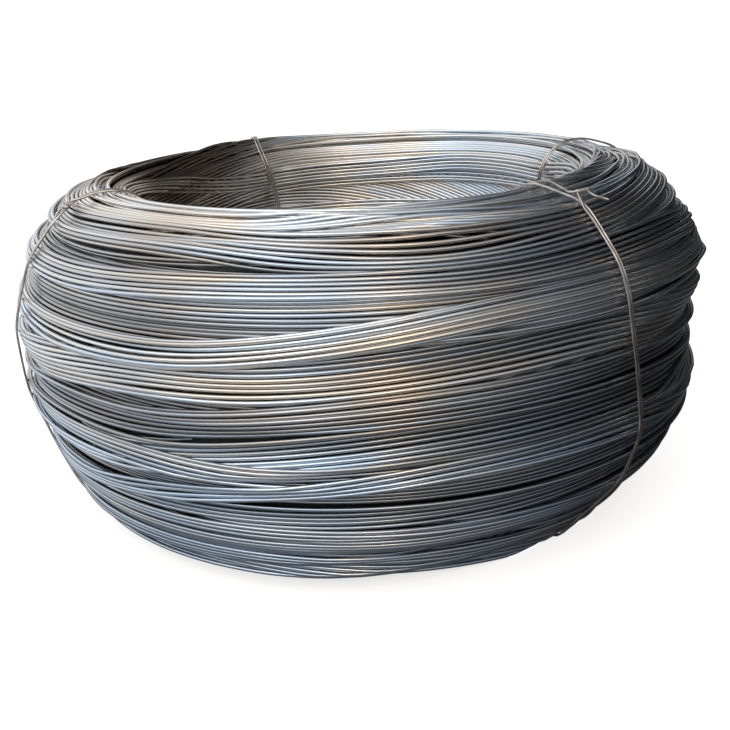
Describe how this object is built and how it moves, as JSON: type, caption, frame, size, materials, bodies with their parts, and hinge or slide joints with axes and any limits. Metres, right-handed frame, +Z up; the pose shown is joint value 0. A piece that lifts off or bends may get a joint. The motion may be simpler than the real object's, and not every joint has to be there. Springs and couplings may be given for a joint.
{
  "type": "wire coil",
  "caption": "Heavy ring-shaped coil of drawn stainless steel wire, with an open bore and barrel-shaped sides, standing on its end and held together by doubled tie wires with twisted knots.",
  "frame": {"origin": "on the floor, on the axis of the bore", "axes": "+Z up along the bore axis, -Y towards the viewer of the picture"},
  "size_m": [0.7999, 0.8, 0.3728],
  "materials": {
    "steel_wire": "drawn, semi-bright",
    "tie_wire": "annealed, dull"
  },
  "bodies": {
    "root": {"wire_coil": "steel_wire", "tie_front_right": "tie_wire", "tie_front_left": "tie_wire", "tie_back_left": "tie_wire", "tie_back_right": "tie_wire"}
  },
  "joints": []
}
